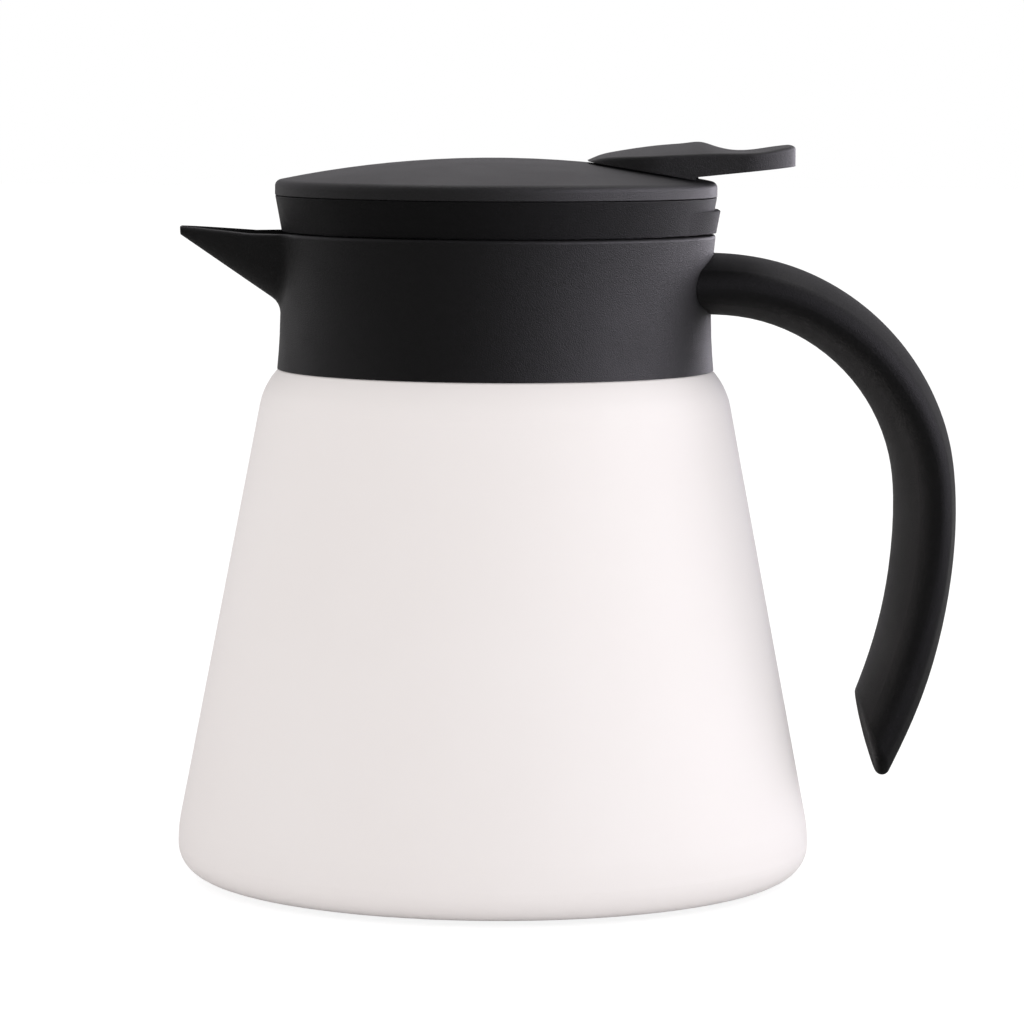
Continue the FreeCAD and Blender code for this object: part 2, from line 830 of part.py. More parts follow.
def make_handle():
    sections = []
    last = len(HANDLE_TOP_SHARES) + len(HANDLE_GRIP_SHARES)

    def add_section(bend, centre, degrees, half_thickness, inner_share):
        """A section at an angle round the centre of a bend."""
        taper = (size.handle_root_half_width - size.handle_end_half_width) * (len(sections) / last)
        half_width = size.handle_root_half_width - taper
        ring = handle_section(len(sections), half_width, half_thickness, inner_share)
        ring.Placement.Rotation = FreeCAD.Rotation(QUARTER_TURN, 0, 0)
        bind(ring, "Placement.Rotation.Roll", -degrees)
        bind(ring, "Placement.Base.x", centre[0] + bend * cosine(degrees))
        bind(ring, "Placement.Base.z", centre[1] + bend * sine(degrees))
        sections.append(ring)

    bend = size.handle_top_radius
    top_centre = (collar_top_radius - size.handle_bend_inset, screw_height - bend)
    root_centre = (top_centre[0] - size.handle_root_depth, top_centre[1])
    thickness = size.handle_half_thickness
    add_section(bend, root_centre, Size.of(QUARTER_TURN), thickness, HANDLE_TOP_SHARES[0][1])
    for along, inner_share in HANDLE_TOP_SHARES:
        add_section(bend, top_centre, Size.of(QUARTER_TURN * (1 - along)), thickness, inner_share)
    grip = size.handle_grip_radius
    back = top_centre[0] + bend
    grip_centre = (back - grip, top_centre[1] - size.handle_grip_drop)
    sweep = arcsine((size.handle_tip_drop + size.overrun / 2 - size.handle_grip_drop) / grip)
    swell = size.handle_end_half_thickness - thickness
    for along, inner_share in HANDLE_GRIP_SHARES:
        add_section(grip, grip_centre, -(sweep * along), thickness + swell * along, inner_share)
    bar = doc.addObject("Part::Loft", "handle_bar")
    bar.Sections = sections
    bar.Solid = True
    doc.recompute()
    body = new_body("handle")
    body.BaseFeature = bar
    doc.recompute()
    bottom, top = collar_bottom, collar_top
    revolve(body, "collar_seat", [
        (ZERO, bottom),
        (collar_bottom_radius + size.fit_clearance, bottom, size.collar_bow_radius, "right"),
        (collar_top_radius + size.fit_clearance, top),
        (ZERO, top),
    ], "PartDesign::Groove")
    inner = (back - size.handle_cut_inset, top_centre[1] - size.handle_cut_drop)
    outer = (back - size.handle_tip_inset, top_centre[1] - size.handle_tip_drop)
    run = outer[0] - inner[0]
    fall = outer[1] - inner[1]
    end_cut = new_sketch(body, "end_outline", "XZ_Plane")
    outline(end_cut, [
        (inner[0] - run, inner[1] - fall),
        (ZERO, inner[1] - fall),
        (ZERO, outer[1] + fall),
        (outer[0] + run, outer[1] + fall),
    ])
    extrude(body, "end_cut", end_cut, size.handle_root_half_width * 4, "PartDesign::Pocket", both_ways=True)
    middle = FreeCAD.Vector((inner[0].value + outer[0].value) / 2, 0, (inner[1].value + outer[1].value) / 2)
    across = FreeCAD.Vector(-fall.value, 0, run.value).normalize()

    def on_end(edge):
        return all(abs((vertex.Point - middle).dot(across)) < NEAR for vertex in edge.Vertexes)

    round_edges(body, "end_edge", size.handle_edge_radius, on_end)
    drill_for_screws(body, "screw_hole", size.screw_radius + size.running_clearance, screw_seat,
                     size.screw_length + size.fit_clearance)
    return body


# Lid shells


def make_lid_skirt():
    body = new_body("lid_skirt")
    wall = size.skirt_wall
    opening = stopper_radius + size.fit_clearance
    lean = (skirt_top_radius - skirt_bottom_radius) / size.skirt_height
    corner = skirt_bottom_radius + lean * size.skirt_floor - wall
    revolve(body, "ring", [
        (opening, skirt_bottom),
        (skirt_bottom_radius, skirt_bottom),
        (skirt_top_radius, seam_height),
        (skirt_top_radius - wall, seam_height),
        (corner, skirt_floor_top),
        (opening, skirt_floor_top),
    ])
    tab = new_sketch(body, "tab_outline", "XZ_Plane")
    low = skirt_bottom_radius + size.tab_proud
    outline(tab, [
        (corner, skirt_bottom + size.seam_gap),
        (low, skirt_bottom + size.seam_gap),
        (low + lean * size.tab_height, skirt_bottom + size.tab_height),
        (corner, skirt_bottom + size.tab_height),
    ])
    extrude(body, "tab", tab, size.tab_width, both_ways=True)

    def on_tab_end(edge):
        box = edge.BoundBox
        return box.XMin > low.value - NEAR and box.YLength < NEAR and box.ZLength > NEAR

    round_edges(body, "tab_end", size.tab_edge_radius, on_tab_end)
    round_edges(body, "seam_edge", size.seam_edge_radius, ring_at(skirt_top_radius, seam_height))
    return body


def make_lid_cover():
    body = new_body("lid_cover")
    spigot = skirt_top_radius - size.skirt_wall - size.spigot_inset
    inside = spigot - size.spigot_wall
    wall = size.cover_wall
    low = cover_bottom - size.spigot_depth
    inner_bend = dome_radius - wall
    inner_edge = dome_centre + square_root(inner_bend * inner_bend - inside * inside)
    revolve(body, "dome", [
        (cover_radius, cover_bottom),
        (cover_radius, dome_edge_height, dome_radius, "left axial"),
        (ZERO, dome_top),
        (ZERO, dome_top - wall, inner_bend, "right axial"),
        (inside, inner_edge),
        (inside, low),
        (spigot, low),
        (spigot, cover_bottom),
    ], role="YZ_Plane")
    round_edges(body, "rim_edge", size.cover_edge_radius, ring_at(cover_radius, dome_edge_height))
    round_edges(body, "seam_edge", size.seam_edge_radius, ring_at(cover_radius, cover_bottom))
    ear = new_sketch(body, "ear_outline", "XZ_Plane", size.ear_half_spacing)
    ear_top = dome_top - wall / 2 - pivot_reach * pivot_reach / (dome_radius * 2)
    outline(ear, rectangle(pivot_reach - size.ear_half_length, pivot_height - size.ear_drop,
                           pivot_reach + size.ear_half_length, ear_top))
    pad = extrude(body, "ear", ear, size.ear_width)
    mirror = body.newObject("PartDesign::Mirrored", "other_ear")
    mirror.Originals = [pad]
    plane = [item for item in body.Origin.OriginFeatures if item.Role == "XZ_Plane"][0]
    mirror.MirrorPlane = (plane, [""])
    body.Tip = mirror
    doc.recompute()
    pin = new_sketch(body, "pin_circle", "XZ_Plane")
    circle(pin, pivot_reach, pivot_height, size.pin_radius + size.running_clearance)
    extrude(body, "pin_hole", pin, (size.ear_half_spacing + size.ear_width) * 2,
            "PartDesign::Pocket", both_ways=True)
    slot = new_sketch(body, "slot_outline", "XY_Plane", low - size.overrun)
    half = size.arm_half_width + size.slot_clearance
    outline(slot, rectangle(pivot_reach - size.web_length, -half,
                            pivot_reach + size.ear_half_length + size.slot_swing, half))
    extrude(body, "slot", slot, dome_top - low + size.overrun * 2, "PartDesign::Pocket", backwards=True)
    return body


def make_lever_pin():
    body = new_body("lever_pin")
    pin = new_sketch(body, "pin_circle", "XZ_Plane")
    circle(pin, pivot_reach, pivot_height, size.pin_radius)
    extrude(body, "pin", pin, (size.ear_half_spacing + size.ear_width) * 2, both_ways=True)
    return body


# Stopper and valve


def make_stopper():
    body = new_body("stopper")
    outer = stopper_radius
    flange = outer + size.stopper_flange_width
    upper_bore = outer - size.stopper_wall
    lower_bore = upper_bore - size.guide_step
    groove_low = stopper_bottom + size.groove_rise
    groove_high = groove_low + size.groove_height
    revolve(body, "cup", [
        (size.seat_radius, stopper_bottom),
        (outer, stopper_bottom),
        (outer, groove_low),
        (outer - size.groove_depth, groove_low),
        (outer - size.groove_depth, groove_high),
        (outer, groove_high),
        (outer, skirt_floor_top),
        (flange, skirt_floor_top),
        (flange, stopper_top),
        (upper_bore, stopper_top),
        (upper_bore, guide_bottom),
        (lower_bore, guide_bottom),
        (lower_bore, seat_height),
        (size.seat_radius, seat_height),
    ])
    window = new_sketch(body, "window_outline", "YZ_Plane")
    half = size.window_width / 2
    low = stopper_bottom + size.window_rise
    outline(window, rectangle(-half, low, half, low + size.window_height))
    extrude(body, "window", window, outer + size.overrun, "PartDesign::Pocket")
    vent = new_sketch(body, "vent_circle", "YZ_Plane")
    circle(vent, ZERO, low + size.window_height / 2, size.vent_radius)
    extrude(body, "vent", vent, outer + size.overrun, "PartDesign::Pocket", backwards=True)
    return body


def make_stopper_gasket():
    body = new_body("stopper_gasket")
    inner = stopper_radius - size.groove_depth + size.running_clearance
    core = inner + size.gasket_body
    lip = mouth_radius - size.gasket_lip_gap
    low = stopper_bottom + size.groove_rise + size.running_clearance
    high = low + size.groove_height - size.running_clearance * 2
    middle = (low + high) / 2
    revolve(body, "ring", [
        (inner, low),
        (core, low),
        (lip, low + size.gasket_lip_thickness),
        (core, low + size.gasket_lip_thickness * 2),
        (core, middle),
        (lip, high - size.gasket_lip_thickness),
        (core, high),
        (inner, high),
    ])
    return body


def make_stem_guide():
    body = new_body("stem_guide")
    outer = stopper_radius - size.stopper_wall - size.fit_clearance
    inner = outer - size.guide_ring_width
    bore = size.stem_radius + size.running_clearance
    high = guide_bottom + size.guide_ring_height
    revolve(body, "ring", rectangle(inner, guide_bottom, outer, high))
    arm = new_sketch(body, "arm_outline", "XY_Plane", guide_bottom)
    half = size.guide_arm_width / 2
    outline(arm, rectangle(bore + size.fit_clearance, -half, outer - size.guide_ring_width / 2, half))
    pad = extrude(body, "arm", arm, size.guide_ring_height)
    arms = body.newObject("PartDesign::PolarPattern", "arms")
    arms.Originals = [pad]
    arms.Axis = (arm, ["N_Axis"])
    arms.Angle = FULL_TURN
    bind(arms, "Occurrences", size.guide_arm_count)
    body.Tip = arms
    doc.recompute()
    revolve(body, "hub", rectangle(bore, guide_bottom, size.guide_hub_radius,
                                   guide_bottom + size.guide_hub_height))
    revolve(body, "bore", rectangle(ZERO, guide_bottom - size.overrun, bore, high + size.overrun),
            "PartDesign::Groove")
    return body


def make_valve_stem():
    body = new_body("valve_stem")
    shaft = size.stem_radius
    low = seal_bottom - size.nut_height
    revolve(body, "rod", [
        (ZERO, low),
        (shaft, low),
        (shaft, disc_top),
        (size.stem_collar_radius, disc_top),
        (size.stem_collar_radius, stem_collar_top),
        (shaft, stem_collar_top),
        (shaft, stem_head_bottom),
        (size.stem_head_radius, stem_head_bottom),
        (size.stem_head_radius, stem_head_top),
        (ZERO, stem_head_top),
    ])
    return body


def make_valve_disc():
    body = new_body("valve_disc")
    bore = size.stem_radius + size.running_clearance
    revolve(body, "disc", rectangle(bore, disc_bottom, valve_radius, disc_top))
    return body


def make_valve_seal():
    body = new_body("valve_seal")
    bore = size.stem_radius + size.running_clearance
    revolve(body, "disc", rectangle(bore, seal_bottom, valve_radius, disc_bottom))
    return body


def make_stem_nut():
    body = new_body("stem_nut")
    bore = size.stem_radius + size.running_clearance
    revolve(body, "nut", rectangle(bore, seal_bottom - size.nut_height, size.nut_radius, seal_bottom))
    return body


def make_valve_spring():
    body = new_body("valve_spring")
    wire = size.spring_wire_radius
    low = stem_collar_top + wire + size.running_clearance
    high = guide_bottom - wire - size.running_clearance
    sketch = new_sketch(body, "wire_circle", "XZ_Plane")
    circle(sketch, size.spring_radius, low, wire)
    coil = body.newObject("PartDesign::AdditiveHelix", "coil")
    coil.Profile = sketch
    coil.ReferenceAxis = (sketch, ["V_Axis"])
    coil.Mode = 2
    bind(coil, "Height", high - low)
    bind(coil, "Turns", size.spring_turn_count)
    doc.recompute()
    return body


# Lever


def make_lever_arm():
    body = new_body("lever_arm")
    bottom = arm_top - size.arm_height
    knee = stopper_radius - size.stopper_wall - size.arm_knee_gap
    shelf = stopper_top + size.slot_clearance
    rear = pivot_reach + size.ear_half_length
    front = rear - size.web_length
    web_top = lever_cavity_top - size.running_clearance
    side = new_sketch(body, "side_outline", "XZ_Plane")
    outline(side, [
        (-size.arm_nose_length, bottom),
        (knee - size.arm_height, bottom),
        (knee, shelf),
        (rear, shelf),
        (rear, web_top),
        (front, web_top),
        (front, pivot_height),
        (knee - size.arm_height * 2, arm_top),
        (size.arm_height, arm_top),
        (-size.arm_nose_length, arm_top - size.arm_nose_drop),
    ])
    extrude(body, "bar", side, size.arm_half_width * 2, both_ways=True)
    fork = new_sketch(body, "fork_outline", "XY_Plane", bottom - size.overrun)
    outline(fork, rectangle(-size.arm_nose_length - size.overrun, -size.fork_half_gap,
                            size.fork_depth, size.fork_half_gap))
    extrude(body, "fork", fork, size.overrun * 2, "PartDesign::Pocket", backwards=True)
    pin = new_sketch(body, "pin_circle", "XZ_Plane")
    circle(pin, pivot_reach, pivot_height, size.pin_radius + size.running_clearance)
    extrude(body, "pin_hole", pin, size.arm_half_width * 3, "PartDesign::Pocket", both_ways=True)
    return body


def lever_section(body, index, reach, crest, edge):
    """A crowned section across the lever: straight sides, a flat bottom and an arched top."""
    sketch = new_sketch(body, "section_%d" % index, "YZ_Plane", reach)
    half = size.lever_half_width
    low = dome_top - size.lever_tail_drop - size.overrun
    rise = crest - edge
    bend = (half * half + rise * rise) / (rise * 2)
    outline(sketch, [
        (-half, low),
        (half, low),
        (half, edge, bend, "left"),
        (-half, edge),
    ])
    return sketch


def make_thumb_lever():
    body = new_body("thumb_lever")
    sections = []
    for index, (along, crest, edge) in enumerate(LEVER_SECTION_SHARES):
        reach = lever_front + size.lever_length * along
        sections.append(lever_section(body, index, reach, dome_top + size.lever_rise * crest,
                                      dome_top + size.lever_rise * edge))
    loft = body.newObject("PartDesign::AdditiveLoft", "crown")
    loft.Profile = sections[0]
    loft.Sections = sections[1:]
    doc.recompute()
    half = size.lever_half_width
    corner = size.lever_tail_radius
    beyond = half + size.overrun
    tail_height = dome_top - size.lever_tail_drop
    below = tail_height - size.overrun * 2
    plan = new_sketch(body, "plan_outline", "XY_Plane", below)
    outline(plan, rectangle(lever_front - size.overrun, -beyond, lever_tail + size.overrun, beyond))
    outline(plan, [
        (lever_front + half, half, half, "left"),
        (lever_front, ZERO, half, "left"),
        (lever_front + half, -half),
        (lever_tail - corner, -half, corner, "left"),
        (lever_tail, corner - half),
        (lever_tail, half - corner, corner, "left"),
        (lever_tail - corner, half),
    ])
    extrude(body, "plan", plan, size.overrun * 4, "PartDesign::Pocket", backwards=True)
    far = lever_tail + size.overrun
    clear = dome_radius + size.lever_gap
    revolve(body, "dome_clearance", [
        (ZERO, below),
        (far, below),
        (far, dome_centre + square_root(clear * clear - far * far), clear, "left axial"),
        (ZERO, dome_top + size.lever_gap),
    ], "PartDesign::Groove", role="YZ_Plane")
    slope = tangent(size.lever_tail_slope_degrees)
    tail_start = pivot_reach + size.lever_tail_start
    under = new_sketch(body, "tail_outline", "XZ_Plane")
    outline(under, [
        (tail_start, below),
        (far, below),
        (far, tail_height + (far - tail_start) * slope),
        (tail_start, tail_height),
    ])
    extrude(body, "tail_cut", under, half * 4, "PartDesign::Pocket", both_ways=True)
    cavity = new_sketch(body, "cavity_outline", "XY_Plane", lever_cavity_top)
    inside = half - size.lever_side_wall
    outline(cavity, rectangle(pivot_reach - size.lever_cavity_front_length, -inside,
                              lever_tail - size.lever_tail_wall, inside))
    extrude(body, "cavity", cavity, size.overrun * 2, "PartDesign::Pocket")
    straight = (lever_front + half).value

    def along_top(edge):
        middle = edge.valueAt((edge.FirstParameter + edge.LastParameter) / 2)
        outside = abs(abs(middle.y) - half.value) < NEAR or middle.x > (lever_tail - corner).value
        return outside and edge.BoundBox.XMin > straight - NEAR and middle.z > dome_top.value

    round_edges(body, "top_edge", size.lever_edge_radius, along_top)
    return body


MAKERS = (
    make_outer_shell, make_inner_liner, make_base_plate, make_foot_ring, make_seal_bead, make_getter,
    make_neck_ring, make_collar_gasket, make_collar, make_collar_sleeve, make_handle, make_handle_screws,
    make_lid_skirt, make_lid_cover, make_lever_pin, make_stopper, make_stopper_gasket, make_stem_guide,
    make_valve_stem, make_valve_disc, make_valve_seal, make_stem_nut, make_valve_spring,
    make_lever_arm, make_thumb_lever,
)
bodies = [maker() for maker in MAKERS]
doc.recompute()
faults = [item.Name for item in doc.Objects if "Invalid" in item.State or "Error" in item.State]
if faults:
    raise RuntimeError("features that failed: " + ", ".join(faults))
os.makedirs("parts", exist_ok=True)
for body in bodies:
    if body.Shape.isNull() or not body.Shape.isValid():
        raise RuntimeError("bad shape: " + body.Label)
    body.Shape.exportStep("parts/%s.step" % body.Label)
    print(body.Label, len(body.Shape.Solids), round(body.Shape.Volume))
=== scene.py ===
import math
from collections import namedtuple
import bpy
from mathutils import Matrix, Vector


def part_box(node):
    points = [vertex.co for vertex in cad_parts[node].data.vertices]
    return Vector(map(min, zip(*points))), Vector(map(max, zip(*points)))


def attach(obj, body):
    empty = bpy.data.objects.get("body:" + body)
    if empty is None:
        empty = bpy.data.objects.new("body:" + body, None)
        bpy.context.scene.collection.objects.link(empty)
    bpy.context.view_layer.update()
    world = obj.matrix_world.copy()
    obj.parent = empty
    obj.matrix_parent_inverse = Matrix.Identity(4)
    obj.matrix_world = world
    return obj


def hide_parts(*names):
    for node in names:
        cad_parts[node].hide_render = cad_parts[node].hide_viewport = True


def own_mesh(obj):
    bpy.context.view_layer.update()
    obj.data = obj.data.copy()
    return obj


# Looks of the vacuum carafe: materials, floor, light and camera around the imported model, in metres

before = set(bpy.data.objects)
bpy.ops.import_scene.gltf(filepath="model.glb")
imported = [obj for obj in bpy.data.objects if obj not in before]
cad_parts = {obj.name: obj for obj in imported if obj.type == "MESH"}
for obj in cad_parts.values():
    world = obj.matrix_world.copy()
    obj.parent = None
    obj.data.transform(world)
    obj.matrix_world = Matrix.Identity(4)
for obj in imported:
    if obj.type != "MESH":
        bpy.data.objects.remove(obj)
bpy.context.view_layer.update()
scene = bpy.context.scene

# Camera, as fitted to the photograph's outline
CAMERA_PLACE = (0.003755, -0.9761, 0.1725)
CAMERA_TILT = 0.096
CAMERA_ROLL = 0.0055
CAMERA_LENS = 159.84
SENSOR_WIDTH = 36.0

# Floor: white to the camera with a share of true shade, and dim in front for reflections
FLOOR_REACH = 6.0
FLOOR_DROP = 0.0002
FLOOR_TONE = (0.96, 0.96, 0.96, 1.0)
FLOOR_GLOW = 1.14
FLOOR_SHADE_SHARE = 0.25
FLOOR_MIRRORED_FRONT = 0.06
FLOOR_MIRRORED_BACK = 0.60
FLOOR_MIRRORED_SPAN = (0.10, 0.85)
FLOOR_MIRRORED_RIGHT = 0.8

# World: white to the camera, soft light on surfaces, and a studio with a dark front for reflections
BACKGROUND_TONE = (1.0, 1.0, 1.0, 1.0)
BACKGROUND_STRENGTH = 1.0
AMBIENT_TONE = (1.0, 0.985, 0.975, 1.0)
AMBIENT_STRENGTH = 0.89
MIRRORED_TONE = (1.0, 0.965, 1.02, 1.0)
MIRRORED_FRONT_STRENGTH = 0.01
MIRRORED_BACK_STRENGTH = 0.48
MIRRORED_SPAN = (-0.8, 0.6)

# Lamps: some light surfaces, some only show in reflections;
# the nodes that a lamp spares get none of its light
Lamp = namedtuple("Lamp", "place width height watts tone lights mirrored shadow spared")
LAMP_TARGET = (0.0, 0.0, 0.085)
LAMPS = {
    "key": Lamp((1.28, -0.226, 0.50), 2.0, 1.2, 8.4, (0.98, 0.98, 1.03),
                lights=True, mirrored=False, shadow=False, spared=()),
    "fill": Lamp((-1.0, -1.0, 0.50), 1.2, 1.0, 2.0, (1.0, 0.955, 0.94),
                 lights=True, mirrored=False, shadow=True, spared=()),
    "top": Lamp((0.0, 0.5, 1.2), 1.2, 0.8, 2.5, (1.0, 0.98, 0.985),
                lights=True, mirrored=True, shadow=True, spared=()),
    "side_shine": Lamp((1.205, -0.487, 0.50), 2.0, 1.0, 15.0, (1.0, 0.95, 1.08),
                       lights=False, mirrored=True, shadow=True, spared=()),
    "rear_shine": Lamp((0.855, 0.77, 0.24), 1.4, 0.40, 5.2, (1.0, 0.95, 1.08),
                       lights=False, mirrored=True, shadow=True, spared=("handle",)),
}

# Lid tab: a skin over the solid's tab that runs out softly into the skirt, as in the photograph
TAB_FOOT = 0.00012
TAB_HEIGHT = 0.0048
TAB_PROUD = 0.0010
TAB_SKIN = 0.00003
TAB_ROOT = 0.0003
TAB_HALF_ANGLE = math.radians(8.6)
TAB_RUN_ANGLE = math.radians(30.0)
TAB_STEPS = 80
SKIRT_FLARE = 0.0014

# Noise: most of it lies between the low and the high value, and its detail is the number of finer layers
NOISE_LOW = 0.3
NOISE_HIGH = 0.7
FINE_DETAIL = 2.0
CLOUDY_DETAIL = 3.0
RICH_DETAIL = 4.0

# Moulded plastic
BLACK = ((0.0022, 0.0022, 0.0024), (0.0042, 0.0042, 0.0045))
# The lid cover and the thumb lever get a lighter copy of the same black: painted light standing in for
# the light they catch
LID_BLACK_PAINTED_LIGHTER = ((0.0070, 0.0070, 0.0074), (0.0110, 0.0110, 0.0116))
INNER_BLACK = ((0.012, 0.012, 0.0125), (0.018, 0.018, 0.019))
DARK_GREY = ((0.040, 0.040, 0.044), (0.052, 0.052, 0.056))
OUTER_ROUGHNESS = 0.52
INNER_ROUGHNESS = 0.45
STOPPER_ROUGHNESS = 0.42
PLASTIC_ROUGHNESS_SPREAD = 0.04
OUTER_GRAIN_DEPTH = 0.00010
INNER_GRAIN_DEPTH = 0.00001
PLASTIC_GRAIN_SCALE = 4200.0
PLASTIC_PATCH_SCALE = 55.0
PLASTIC_PATCH_DEPTH = 0.00002
PLASTIC_SHEEN = 0.6
LID_SHEEN = 0.62
MATT_SHEEN = 0.30

# Body paint
PAINT_TONES = ((0.785, 0.750, 0.742), (0.800, 0.768, 0.762))
PAINT_ROUGHNESS = (0.60, 0.70)
PAINT_POWDER_SCALE = 1500.0
PAINT_POWDER_DEPTH = 0.000004
PAINT_PEEL_SCALE = 240.0
PAINT_PEEL_DEPTH = 0.000008
PAINT_CLOUD_SCALE = 16.0
PAINT_SHEEN = 0.35
PAINT_COAT = 0.04
PAINT_COAT_ROUGHNESS = 0.40

# Brushed steel, whose lines run along the axis with the small stretch
STEEL_TONE = (0.60, 0.59, 0.58)
TURNED_TONE = (0.64, 0.63, 0.62)
LINER_ROUGHNESS = 0.30
TURNED_ROUGHNESS = 0.28
BASE_ROUGHNESS = 0.38
LINER_STRETCH = (1.0, 1.0, 0.04)
TURNED_STRETCH = (0.1, 0.1, 1.0)
BASE_STRETCH = (0.05, 1.0, 1.0)
STEEL_SMEAR_SCALE = 40.0
STEEL_SMEAR_SHARE = 0.90
STEEL_LINE_SCALE = 900.0
STEEL_LINE_DEPTH = 0.000005
STEEL_LINE_SMOOTHER = 0.08
STEEL_LINE_ROUGHER = 0.10

# Silicone and rubber
SILICONE_TONES = ((0.27, 0.27, 0.28), (0.33, 0.33, 0.34))
SILICONE_ROUGHNESS = 0.55
FOOT_TONES = ((0.22, 0.22, 0.23), (0.28, 0.28, 0.29))
FOOT_ROUGHNESS = 0.65
RUBBER_ROUGHNESS_SPREAD = 0.06
RUBBER_MOTTLE_SCALE = 180.0
RUBBER_SKIN_SCALE = 1800.0
RUBBER_SKIN_DEPTH = 0.00001
RUBBER_DUST = 0.1

# Solder and pressed pellet
SOLDER_TONES = ((0.36, 0.34, 0.30), (0.48, 0.46, 0.41))
SOLDER_ROUGHNESS = 0.42
PELLET_TONES = ((0.40, 0.40, 0.42), (0.52, 0.52, 0.54))
PELLET_ROUGHNESS = 0.55
CAST_ROUGHNESS_SPREAD = 0.1
CAST_STAIN_SCALE = 300.0
CAST_LUMP_SCALE = 900.0
CAST_LUMP_DEPTH = 0.00008


class Nodes:
    """A node tree whose nodes are added and fed call by call."""

    def __init__(self, tree):
        self.tree = tree

    def feed(self, socket, value):
        """Link a socket, or set it where the value is a plain one."""
        if isinstance(value, bpy.types.NodeSocket):
            self.tree.links.new(value, socket)
        else:
            socket.default_value = value

    def add(self, kind, inputs=(), **settings):
        """A new node, with its settings and with its inputs given as pairs."""
        node = self.tree.nodes.new(kind)
        for name, value in settings.items():
            setattr(node, name, value)
        for name, value in inputs:
            self.feed(node.inputs[name], value)
        return node

    def place(self, kind):
        """Coordinates of the kind that is named."""
        return self.add("ShaderNodeTexCoord").outputs[kind]

    def axes(self, kind):
        """X, Y and Z of coordinates."""
        return self.add("ShaderNodeSeparateXYZ", [("Vector", self.place(kind))]).outputs

    def work_out(self, operation, *values):
        """A calculation with up to three values."""
        return self.add("ShaderNodeMath", enumerate(values), operation=operation).outputs["Value"]

    def span(self, factor, low, high, first=NOISE_LOW, last=NOISE_HIGH, **settings):
        """A factor from first to last, turned into a value from low to high."""
        inputs = [("Value", factor), ("From Min", first), ("From Max", last),
                  ("To Min", low), ("To Max", high)]
        return self.add("ShaderNodeMapRange", inputs, **settings).outputs["Result"]

    def mix(self, factor, first, second):
        """One shader, or the other one where the factor is 1."""
        return self.add("ShaderNodeMixShader", enumerate((factor, first, second))).outputs["Shader"]


class Recipe(Nodes):
    """A material with one Principled shader, whose inputs are fed call by call."""

    def __init__(self, name):
        self.material = bpy.data.materials.new(name)
        self.material.use_nodes = True
        super().__init__(self.material.node_tree)
        self.shader = self.tree.nodes["Principled BSDF"]
        self.where = self.place("Object")

    def set(self, **values):
        """Feed the shader's inputs; a name's underscores stand for spaces."""
        for name, value in values.items():
            self.feed(self.shader.inputs[name.replace("_", " ")], value)

    def stretched(self, stretch):
        """Object coordinates, scaled along each axis."""
        inputs = [("Vector", self.where), ("Scale", stretch)]
        return self.add("ShaderNodeMapping", inputs).outputs["Vector"]

    def noise(self, scale, detail, stretch=None):
        """A cloudy pattern from 0 to 1."""
        where = self.stretched(stretch) if stretch else self.where
        inputs = [("Vector", where), ("Scale", scale), ("Detail", detail)]
        return self.add("ShaderNodeTexNoise", inputs).outputs["Fac"]

    def cells(self, scale):
        """A pattern of round lumps."""
        inputs = [("Vector", self.where), ("Scale", scale)]
        return self.add("ShaderNodeTexVoronoi", inputs).outputs["Distance"]

    def tones(self, factor, low, high):
        """A colour ramp between two tones."""
        node = self.add("ShaderNodeValToRGB", [("Fac", factor)])
        for stop, position, tone in zip(node.color_ramp.elements, (NOISE_LOW, NOISE_HIGH), (low, high)):
            stop.position = position
            stop.color = (*tone, 1.0)
        return node.outputs["Color"]

    def bump(self, height, depth, below=None):
        """A normal that follows a height map whose full span is the depth."""
        inputs = [("Height", height), ("Distance", depth)]
        if below is not None:
            inputs.append(("Normal", below))
        return self.add("ShaderNodeBump", inputs).outputs["Normal"]


def moulded_plastic(name, tones, roughness, grain_depth, sheen=PLASTIC_SHEEN):
    """Plastic with a fine spark-eroded grain and a faint large unevenness."""
    recipe = Recipe(name)
    grain = recipe.noise(PLASTIC_GRAIN_SCALE, FINE_DETAIL)
    patches = recipe.noise(PLASTIC_PATCH_SCALE, CLOUDY_DETAIL)
    spread = PLASTIC_ROUGHNESS_SPREAD
    recipe.set(
        Base_Color=recipe.tones(grain, *tones),
        Roughness=recipe.span(patches, roughness - spread, roughness + spread),
        Normal=recipe.bump(grain, grain_depth, recipe.bump(patches, PLASTIC_PATCH_DEPTH)),
        Specular_IOR_Level=sheen,
    )
    return recipe.material


def satin_paint(name):
    """Off-white powder paint under a thin satin coat, a little warmer in places."""
    recipe = Recipe(name)
    powder = recipe.noise(PAINT_POWDER_SCALE, FINE_DETAIL)
    peel = recipe.noise(PAINT_PEEL_SCALE, FINE_DETAIL)
    clouds = recipe.noise(PAINT_CLOUD_SCALE, CLOUDY_DETAIL)
    recipe.set(
        Base_Color=recipe.tones(clouds, *PAINT_TONES),
        Roughness=recipe.span(powder, *PAINT_ROUGHNESS),
        Normal=recipe.bump(powder, PAINT_POWDER_DEPTH, recipe.bump(peel, PAINT_PEEL_DEPTH)),
        Specular_IOR_Level=PAINT_SHEEN,
        Coat_Weight=PAINT_COAT,
        Coat_Roughness=PAINT_COAT_ROUGHNESS,
    )
    return recipe.material


def brushed_steel(name, tone, roughness, stretch):
    """Stainless steel with fine brush lines."""
    recipe = Recipe(name)
    lines = recipe.noise(STEEL_LINE_SCALE, RICH_DETAIL, stretch)
    smears = recipe.noise(STEEL_SMEAR_SCALE, CLOUDY_DETAIL)
    smeared = tuple(part * STEEL_SMEAR_SHARE for part in tone)
    recipe.set(
        Base_Color=recipe.tones(smears, smeared, tone),
        Roughness=recipe.span(lines, roughness - STEEL_LINE_SMOOTHER, roughness + STEEL_LINE_ROUGHER),
        Normal=recipe.bump(lines, STEEL_LINE_DEPTH),
        Metallic=1.0,
    )
    return recipe.material


